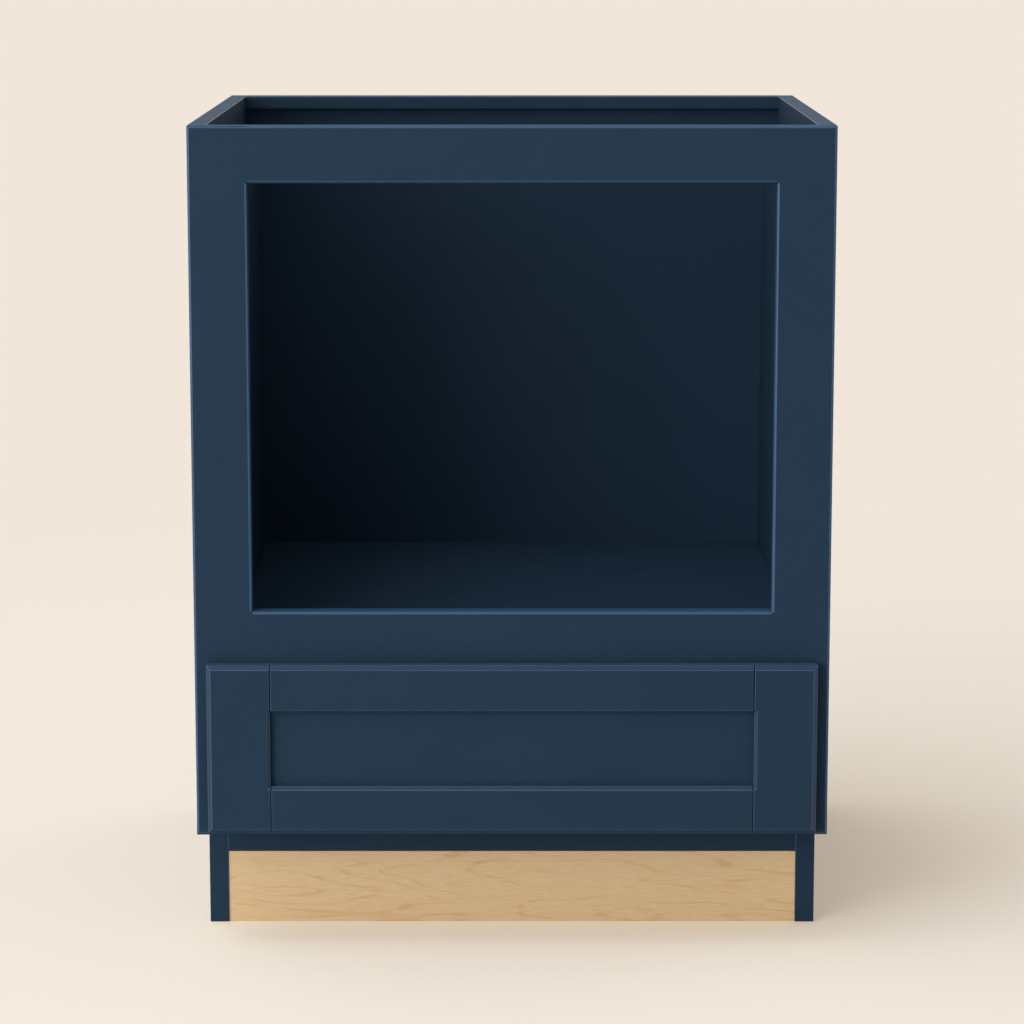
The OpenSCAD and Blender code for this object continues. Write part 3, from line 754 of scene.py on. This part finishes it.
@dataclass
class DrawerFront:
    """Five-piece front: stiles, rails and a flat panel, with a bevel all round and V grooves at the joints."""

    finishes: Finishes
    stiles: tuple[str, ...] = ("front_left_stile", "front_right_stile")
    crossing: tuple[str, ...] = ("front_top_rail", "front_bottom_rail", "front_panel")
    stile_ease: Ease = Ease(radius=0.8 * MM, shortest=4 * MM, chamfer=1.2 * MM)
    ease: Ease = Ease(radius=0.6 * MM, shortest=4 * MM, chamfer=1.2 * MM, clamped=False)
    groove: float = 1.2 * MM  # how far from a joint its V groove reaches
    gap: float = 0.1 * MM  # glue between a rail's shoulder and its stile
    depth: float = 6 * MM  # the shoulders still meet this near the back
    crack: float = 1.0 * MM  # hairline at the bottom of the groove, which paint never closes

    def open_joint(self, rail: Object) -> None:
        """Draws the front of a rail's shoulders back from the stiles by the hairline.

        Args:
            rail: The dressed rail.
        """
        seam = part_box(self.stiles[1])[0][0]
        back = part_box(self.stiles[0])[1][1]
        for vert in rail.data.vertices:
            if -self.groove < abs(vert.co.x) - seam < self.gap and vert.co.y < back - self.depth:
                vert.co.x -= math.copysign(self.crack, vert.co.x)

    def build(self) -> None:
        """Dresses the five pieces, with the grain upright in the stiles and across in the rest."""
        self.stile_ease.dress(self.stiles, *self.finishes.paint(Axis.Z, Coat.BEVEL))
        top, bottom, _ = self.ease.dress(self.crossing, *self.finishes.paint(Axis.X, Coat.BEVEL))
        self.open_joint(top)
        self.open_joint(bottom)


@dataclass
class DrawerBox:
    """Dovetailed box of solid maple with a plywood bottom, all under clear lacquer."""

    finishes: Finishes
    ends: tuple[str, ...] = ("box_front", "box_back")
    sides: tuple[str, ...] = ("box_left_side", "box_right_side")
    ease: Ease = Ease(radius=1.2 * MM, shortest=60 * MM)
    bottom_ease: Ease = Ease(radius=0.3 * MM)

    def build(self) -> None:
        """Dresses the box; the long edges are well rounded, and the dovetails stay tight."""
        wood = self.finishes.lacquered
        self.ease.dress(self.ends, wood.material(Axis.X, Axis.Y, Edge.END_GRAIN))
        self.ease.dress(self.sides, wood.material(Axis.Y, Axis.X, Edge.END_GRAIN))
        self.bottom_ease.dress(("box_bottom",), wood.material(Axis.X, Axis.Z, Edge.PLIES))


# ---- Fittings ----


@dataclass
class Runners:
    """Pair of full-extension runners: pressed members, nylon cages and rear brackets."""

    finishes: Finishes
    members: tuple[str, ...] = ("cabinet_runner", "middle_runner", "drawer_runner")
    cages: tuple[str, ...] = ("lower_cage", "upper_cage")
    ease: Ease = Ease(radius=0.3 * MM, segments=2)

    def build(self) -> None:
        """Dresses every fitting of both sides."""
        fittings = ((self.members, self.finishes.zinc.material(Axis.Y)), (self.cages, self.finishes.nylon.material()),
                    (("rear_bracket",), self.finishes.grey.material()))
        for side in SIDES:
            for names, material in fittings:
                self.ease.dress(tuple(side + name for name in names), material, smooth=True)


@dataclass
class ClipsAndLevers:
    """Locking clips under the drawer's front and the orange levers that release them."""

    finishes: Finishes
    ease: Ease = Ease(radius=0.5 * MM, shortest=2.5 * MM)

    def build(self) -> None:
        """Dresses the clips and levers of both sides."""
        for side in SIDES:
            self.ease.dress((side + "locking_clip",), self.finishes.grey.material(), smooth=True)
            self.ease.dress((side + "release_lever",), self.finishes.orange.material(), smooth=True)


# ---- Small parts made by Geometry Nodes ----


@dataclass
class SmallPart:
    """One small part that Geometry Nodes build and set at points, each turned to its own facing."""

    label: str
    sizes: dict[str, float]
    tree: NodeTree = field(init=False)
    given: Node = field(init=False)

    def __post_init__(self) -> None:
        """Starts the tree with its named inputs."""
        self.tree = bpy.data.node_groups.new(self.label, "GeometryNodeTree")
        face = self.tree.interface
        face.new_socket("Geometry", in_out="INPUT", socket_type="NodeSocketGeometry")
        for name, value in self.sizes.items():
            face.new_socket(name, in_out="INPUT", socket_type="NodeSocketFloat").default_value = value
        face.new_socket("Material", in_out="INPUT", socket_type="NodeSocketMaterial")
        face.new_socket("Geometry", in_out="OUTPUT", socket_type="NodeSocketGeometry")
        self.given = add(self.tree, "NodeGroupInput")
        self.close(self.model())

    def model(self) -> Node:
        """Builds one part, standing on the origin with its outer end up."""
        raise NotImplementedError

    def dome(self, rings: int, radius: str, height: str) -> Node:
        """Presses the lower half of a ball flat and the upper half to a dome that stands on the origin.

        Args:
            rings: Rings of faces round the ball.
            radius: Name of the input that holds the dome's radius.
            height: Name of the input that holds its height.

        Returns:
            The dome.
        """
        tree, sizes = self.tree, self.given.outputs
        ball = add(tree, "MeshUVSphere", {"Segments": 32, "Rings": rings, "Radius": 1.0})
        place = add(tree, "InputPosition")
        above = add(tree, "VectorMath", (place, (BELOW, BELOW, 0.0)), "MAXIMUM")
        half = add(tree, "SetPosition", {"Geometry": ball, "Position": above})
        size = add(tree, "CombineXYZ", (sizes[radius], sizes[radius], sizes[height]))
        return add(tree, "Transform", {"Geometry": half, "Scale": size})

    def close(self, part: Node) -> None:
        """Sets the part at every point and ends the tree.

        Args:
            part: Last node of the part.
        """
        tree, given = self.tree, self.given.outputs
        facing = add(tree, "InputNamedAttribute", {"Name": "facing"}, data_type="FLOAT_VECTOR")
        turn = add(tree, "AlignRotationToVector", {"Vector": facing.outputs[0]}, axis="Z")
        copies = add(tree, "InstanceOnPoints", {"Points": given["Geometry"], "Instance": part, "Rotation": turn})
        whole = add(tree, "RealizeInstances", {"Geometry": copies})
        done = add(tree, "SetMaterial", {"Geometry": whole, "Material": given["Material"]})
        add(tree, "NodeGroupOutput", {"Geometry": done})

    def place(self, node: str, material: Material, seats: list[tuple[Vector, Vector]], **sizes: float) -> Object:
        """Makes the parts that stand for a node.

        Args:
            node: CAD node with one solid for each part.
            material: Finish of the parts.
            seats: Point and facing of each part.
            **sizes: Inputs of the tree that differ from its defaults.

        Returns:
            The piece.
        """
        points = bpy.data.meshes.new(node + "_points")
        points.from_pydata([seat for seat, _ in seats], [], [])
        facing = points.attributes.new("facing", "FLOAT_VECTOR", "POINT")
        for item, (_, direction) in zip(facing.data, seats):
            item.vector = direction
        maker = show(node + "_maker", points)
        modifier = maker.modifiers.new(self.label, "NODES")
        modifier.node_group = self.tree
        values = sizes | {"Material": material}
        for item in self.tree.interface.items_tree:
            if item.in_out == "INPUT" and item.name in values:
                modifier[item.identifier] = values[item.name]
        bpy.context.view_layer.update()
        seen = maker.evaluated_get(bpy.context.evaluated_depsgraph_get())
        mesh = bpy.data.meshes.new_from_object(seen)
        maker.modifiers.remove(modifier)
        bpy.data.objects.remove(maker)
        mesh.name = node + "_dressed"
        mesh.shade_smooth()
        mesh.set_sharp_from_angle(angle=CREASE)
        return put(mesh, node)


@dataclass
class ScrewPart(SmallPart):
    """Wood screw with a cross recess; its head's top or seat is at the origin and its tip points down."""

    label: str = "wood_screw"
    head: Head = Head.COUNTERSUNK
    sizes: dict[str, float] = field(default_factory=lambda: {
        "Length": 28 * MM, "Thread Radius": 1.75 * MM, "Core Radius": 1.2 * MM, "Head Radius": 3.5 * MM,
        "Head Height": 2.2 * MM, "Pitch": 1.8 * MM})
    recess: float = 1.5 * MM  # from the top of the head to the middle of the slots
    slot: tuple[float, float, float] = (2.1 * MM, 0.9 * MM, 2.0 * MM)  # radius at the top and foot, and depth
    slot_share: float = 0.3  # width of a slot beside its length
    tip_share: float = 3.0  # length of the tip in core radii
    tip_radius: float = 0.05 * MM
    thread_share: float = 0.96  # part of the straight core that the thread covers

    def model(self) -> Node:
        """Joins a recessed head, a tapered core and a thread.

        Returns:
            The last node.
        """
        tree, sizes = self.tree, self.given.outputs
        core, height, length = sizes["Core Radius"], sizes["Head Height"], sizes["Length"]
        tip = add(tree, "Math", (core, self.tip_share), "MULTIPLY")
        straight = add(tree, "Math", (length, tip), "SUBTRACT")
        below, half, foot, end = [
            add(tree, "VectorMath", {0: (0.0, 0.0, -share), "Scale": way}, "SCALE")
            for share, way in ((1.0, height), (0.5, straight), (1.0, straight), (1.0, length))]
        if self.head is Head.PAN:
            cap, top = self.dome(16, "Head Radius", "Head Height"), height
        else:
            cap = add(tree, "MeshCone", {"Vertices": 32, "Radius Top": sizes["Head Radius"], "Radius Bottom": core,
                                         "Depth": height})
            cap, top = add(tree, "Transform", {"Geometry": cap, "Translation": below}), 0.0
        recess = add(tree, "Math", (top, self.recess), "SUBTRACT")
        recess = add(tree, "CombineXYZ", {2: recess})
        slot = add(tree, "MeshCone", {"Vertices": 4} | dict(zip(("Radius Top", "Radius Bottom", "Depth"), self.slot)))
        slot = add(tree, "Transform", {"Geometry": slot, "Translation": recess, "Scale": (1.0, self.slot_share, 1.0)})
        cross = add(tree, "Transform", {"Geometry": slot, "Rotation": (0.0, 0.0, math.pi / 2)})
        cap = add(tree, "MeshBoolean", {"Mesh 1": cap, "Mesh 2": [slot, cross]})
        rod = add(tree, "MeshCylinder", {"Vertices": 20, "Radius": core, "Depth": straight})
        point = add(tree, "MeshCone", {"Vertices": 20, "Radius Top": core, "Radius Bottom": self.tip_radius,
                                       "Depth": tip})
        run = add(tree, "Math", (straight, height), "SUBTRACT")
        run = add(tree, "Math", (run, self.thread_share), "MULTIPLY")
        turns = add(tree, "Math", (run, sizes["Pitch"]), "DIVIDE")
        helix = add(tree, "CurveSpiral", {"Resolution": 14, "Rotations": turns, "Height": run, "Start Radius": core,
                                          "End Radius": core})
        crest = add(tree, "Math", (sizes["Thread Radius"], core), "SUBTRACT")
        rim = add(tree, "CurvePrimitiveCircle", {"Resolution": 3, "Radius": crest})
        thread = add(tree, "CurveToMesh", {"Curve": helix, "Profile Curve": rim, "Fill Caps": True})
        shank = [add(tree, "Transform", {"Geometry": part, "Translation": way})
                 for part, way in ((rod, half), (point, end), (thread, foot))]
        return add(tree, "JoinGeometry", {0: [cap, *shank]})


@dataclass
class BallPart(SmallPart):
    """Bearing ball."""

    label: str = "bearing_ball"
    sizes: dict[str, float] = field(default_factory=lambda: {"Radius": 2 * MM})

    def model(self) -> Node:
        """Builds a ball round the origin."""
        return add(self.tree, "MeshIcoSphere", {"Radius": self.given.outputs["Radius"], "Subdivisions": 3})


@dataclass
class DowelPart(SmallPart):
    """Fluted dowel with tapered ends, lying round the origin along Z."""

    label: str = "fluted_dowel"
    sizes: dict[str, float] = field(default_factory=lambda: {"Radius": 4 * MM, "Length": 40 * MM})
    flute: float = 0.1  # depth of a flute beside the radius
    taper: float = 0.16  # how much narrower the ends are
    straight: float = 0.49  # part of the length, from the middle, that has no taper

    def model(self) -> Node:
        """Draws every second line of a cylinder in, and both ends too.

        Returns:
            The last node.
        """
        tree, sizes = self.tree, self.given.outputs
        rod = add(tree, "MeshCylinder", {"Vertices": 40, "Side Segments": 16, "Radius": sizes["Radius"],
                                         "Depth": sizes["Length"]})
        place = add(tree, "InputPosition")
        height = add(tree, "SeparateXYZ", (place,)).outputs[2]
        height = add(tree, "Math", (height,), "ABSOLUTE")
        limit = add(tree, "Math", (sizes["Length"], self.straight), "MULTIPLY")
        beyond = add(tree, "Math", (height, limit), "GREATER_THAN")
        odd = add(tree, "Math", (add(tree, "InputIndex"), 2.0), "MODULO")
        groove, taper = [add(tree, "Math", (where, -less, 1.0), "MULTIPLY_ADD")
                         for where, less in ((odd, self.flute), (beyond, self.taper))]
        width = add(tree, "Math", (groove, taper), "MULTIPLY")
        spread = add(tree, "CombineXYZ", (width, width, 1.0))
        moved = add(tree, "VectorMath", (place, spread), "MULTIPLY")
        return add(tree, "SetPosition", {"Geometry": rod, "Position": moved})


@dataclass
class PadPart(SmallPart):
    """Self-adhesive domed bumper pad with its flat side on the origin."""

    label: str = "bumper_pad"
    sizes: dict[str, float] = field(default_factory=lambda: {"Radius": 4.5 * MM, "Height": 1.7 * MM})

    def model(self) -> Node:
        """Builds a low dome."""
        return self.dome(24, "Radius", "Height")


@dataclass
class SmallParts:
    """Screws, balls, dowels and pads, each set where the frame has it."""

    finishes: Finishes
    flat_screws: tuple[str, ...] = ("back_panel_screws", "base_screws")
    pan_screws: tuple[str, ...] = ("front_screws", "clip_screws", "runner_screws", "bracket_screws")
    balls: tuple[str, ...] = tuple(side + level + "_balls" for side in SIDES for level in ("lower", "upper"))

    @staticmethod
    def lie(points: list[Vector]) -> tuple[Vector, Vector, float]:
        """Finds how a long or flat turned solid lies.

        Args:
            points: Its points.

        Returns:
            Its middle, the direction from its narrow end to its wide end, and its length along that direction.
        """
        centre = middle(points)
        spans = [max(p[i] for p in points) - min(p[i] for p in points) for i in range(3)]
        across = min(range(3), key=lambda i: abs(spans[(i + 1) % 3] - spans[(i + 2) % 3]))
        direction = Vector([1.0 if i == across else 0.0 for i in range(3)])
        widths = []
        for sign in (-1, 1):
            end = [p for p in points if sign * (p - centre).dot(direction) > spans[across] / 2 - END]
            widths.append(max((p - centre - (p - centre).dot(direction) * direction).length for p in end))
        if widths[0] > widths[1]:
            direction.negate()
        return centre, direction, spans[across]

    def build(self) -> None:
        """Makes every small part."""
        steel = self.finishes.screw.material(Axis.Z)
        for nodes, part in ((self.flat_screws, ScrewPart()),
                            (self.pan_screws, ScrewPart(label="pan_head_screw", head=Head.PAN))):
            raised = part.sizes["Head Height"] if part.head is Head.PAN else 0.0
            for node in nodes:
                lying = [self.lie(points) for points in solids(node)]
                seats = [(centre + direction * (length / 2 - raised), direction) for centre, direction, length in lying]
                part.place(node, steel, seats, Length=lying[-1][2] - raised)
        ball, polished = BallPart(), self.finishes.ball.material(Axis.Y)
        for node in self.balls:
            ball.place(node, polished, [(middle(points), Vector((0, 0, 1))) for points in solids(node)])
        dowels = [self.lie(points)[:2] for points in solids("frame_dowels")]
        DowelPart().place("frame_dowels", self.finishes.beech.material(Axis.X, Axis.Y, Edge.END_GRAIN), dowels)
        low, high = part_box("bumper_pads")
        pads = [(Vector((middle(points).x, low[1], middle(points).z)), Vector((0, 1, 0)))
                for points in solids("bumper_pads")]
        PadPart().place("bumper_pads", self.finishes.clear.material(), pads, Height=high[1] - low[1])


# ---- Studio ----


@dataclass(frozen=True)
class Glow:
    """Soft light that comes from one direction: where it is seen from the cabinet, how strong it is and how tight."""

    azimuth: float  # degrees from the front, towards the left
    elevation: float
    strength: float
    tightness: float = 14.0

    def towards(self) -> Vector:
        """Points at the light.

        Returns:
            Direction from the cabinet to the light.
        """
        azimuth, elevation = math.radians(self.azimuth), math.radians(self.elevation)
        return Vector((-math.sin(azimuth) * math.cos(elevation), -math.cos(azimuth) * math.cos(elevation),
                       math.sin(elevation)))


@dataclass
class Studio:
    """Pale floor, one large round softbox low at the front left, and soft fill from above and all round."""

    floor_size: float = 160.0
    floor_light: str = "#e9e9e4"
    floor_dark: str = "#e5e5e0"
    floor_grain: float = 2.5 * MM
    floor_roughness: float = 0.9
    backdrop: str = "#f1e6d9"
    warmth: str = "#ffe1bf"
    warm_share: float = 0.32  # brightness of the warm part that no shadow darkens
    lit_floor: tuple[float, float] = (1.3, 2.6)  # metres from the cabinet between which floor turns to backdrop
    box: Glow = Glow(35, 8, 0.216)
    box_distance: float = 3.0
    box_width: float = 1.85
    glows: tuple[Glow, ...] = (
        Glow(0, 90, 0.33), Glow(60, 67, 2.18), Glow(120, 67, 0.89), Glow(30, 25, 0.44), Glow(140, 20, 0.9),
        Glow(220, 20, 0.5), Glow(240, 25, 0.4), Glow(300, 25, 0.28), Glow(330, 25, 0.34), Glow(30, 8, 2.32),
        Glow(60, 8, 2.05), Glow(90, 8, 1.0), Glow(180, 12, 0.4), Glow(240, 8, 1.35))
    eye: tuple[float, float, float] = (0.0, -3.9905, 1.1134)
    pitch: float = 9.771
    lens: float = 123.087
    farthest: float = 400.0  # metres that the camera sees

    def floor(self) -> None:
        """Lays a matt floor that runs out of every view; far off, the camera sees it as an evenly lit backdrop."""
        half = self.floor_size / 2
        mesh = bpy.data.meshes.new("floor")
        mesh.from_pydata([(-half, -half, 0), (half, -half, 0), (half, half, 0), (-half, half, 0)], [], [(0, 1, 2, 3)])
        material = bpy.data.materials.new("matt_floor_paint")
        material.use_nodes = True
        tree = material.node_tree
        fleck = add(tree, "TexNoise", scaled(tree, (self.floor_grain,) * 3, Detail=2.0))
        dark, light = linear(self.floor_dark), linear(self.floor_light)
        colour = add(tree, "Mix", {0: fleck, 6: dark, 7: light}, data_type="RGBA")
        place = add(tree, "TexCoord").outputs["Object"]
        away = add(tree, "VectorMath", (place,), "LENGTH")
        far = add(tree, "MapRange", (away, *self.lit_floor), interpolation_type="SMOOTHSTEP")
        path = add(tree, "LightPath").outputs
        seen = add(tree, "Math", (path["Is Camera Ray"], path["Is Glossy Ray"]), "ADD")
        seen = add(tree, "Math", (seen, path["Is Transmission Ray"]), "ADD", use_clamp=True)
        even = add(tree, "Math", (seen, self.warm_share), "MULTIPLY")
        shader = tree.nodes["Principled BSDF"]
        fill(shader, {"Base Color": colour, "Roughness": self.floor_roughness, "Specular IOR Level": 0.0,
                      "Emission Color": linear(self.warmth), "Emission Strength": even})
        share = add(tree, "Math", (far, seen), "MULTIPLY")
        glow = add(tree, "Emission", {"Color": linear(self.backdrop), "Strength": 1.0})
        fill(tree.nodes["Material Output"], {"Surface": add(tree, "MixShader", (share, shader, glow))})
        mesh.materials.append(material)
        show("floor", mesh)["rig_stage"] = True

    def softbox(self) -> None:
        """Hangs the softbox: strength 1 lights a surface that faces it as brightly as its own colour."""
        light = bpy.data.lights.new("softbox", "AREA")
        light.shape = "DISK"
        light.size = self.box_width
        light.energy = self.box.strength * (math.pi * self.box_distance) ** 2
        lamp = show("softbox", light)
        towards = self.box.towards()
        lamp.location = towards * self.box_distance + (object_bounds()[0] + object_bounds()[1]) / 2
        lamp.rotation_euler = (-towards).to_track_quat("-Z", "Y").to_euler()
        lamp.visible_camera = False

    def sky(self) -> None:
        """Makes a world of soft lights. The camera sees the plain backdrop, and gloss the brighter of both."""
        world = bpy.data.worlds.new("soft_fill")
        bpy.context.scene.world = world
        world.use_nodes = True
        tree = world.node_tree
        direction = add(tree, "TexCoord").outputs["Generated"]
        total: Any = 0.0
        for glow in self.glows:
            facing = add(tree, "VectorMath", (direction, tuple(glow.towards())), "DOT_PRODUCT")
            facing = add(tree, "Math", (facing, 0.0), "MAXIMUM")
            patch = add(tree, "Math", (facing, glow.tightness), "POWER")
            total = add(tree, "Math", (patch, glow.strength, total), "MULTIPLY_ADD")
        path = add(tree, "LightPath").outputs
        backdrop = linear(self.backdrop)
        shiny = add(tree, "Mix", {0: path["Is Glossy Ray"], 6: BLACK, 7: backdrop}, data_type="RGBA")
        lit = add(tree, "Mix", {0: 1.0, 6: total, 7: shiny}, data_type="RGBA", blend_type="LIGHTEN")
        seen = add(tree, "Math", (path["Is Camera Ray"], path["Is Transmission Ray"]), "ADD", use_clamp=True)
        sky = add(tree, "Mix", {0: seen, 6: lit, 7: backdrop}, data_type="RGBA")
        fill(tree.nodes["Background"], {"Color": sky})

    def camera(self) -> None:
        """Sets the camera at the photograph's place."""
        lens = bpy.data.cameras.new("camera")
        lens.lens = self.lens
        lens.clip_end = self.farthest
        camera = show("camera", lens)
        camera.location = self.eye
        camera.rotation_euler = (math.radians(90.0 - self.pitch), 0.0, 0.0)
        bpy.context.scene.camera = camera

    def build(self) -> None:
        """Sets up floor, lights, camera and view."""
        self.floor()
        self.softbox()
        self.sky()
        self.camera()
        bpy.context.scene.view_settings.view_transform = "Standard"


def main() -> None:
    """Builds the sub-assemblies in order."""
    logging.basicConfig(level=logging.INFO, format="%(name)s: %(message)s")
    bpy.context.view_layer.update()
    finishes = Finishes()
    for part in (Carcass(finishes), FaceFrame(finishes), ToeBase(finishes), DrawerFront(finishes), DrawerBox(finishes),
                 Runners(finishes), ClipsAndLevers(finishes), SmallParts(finishes)):
        part.build()
    Studio().build()
    bpy.context.view_layer.update()


if __name__ == "__main__":
    main()
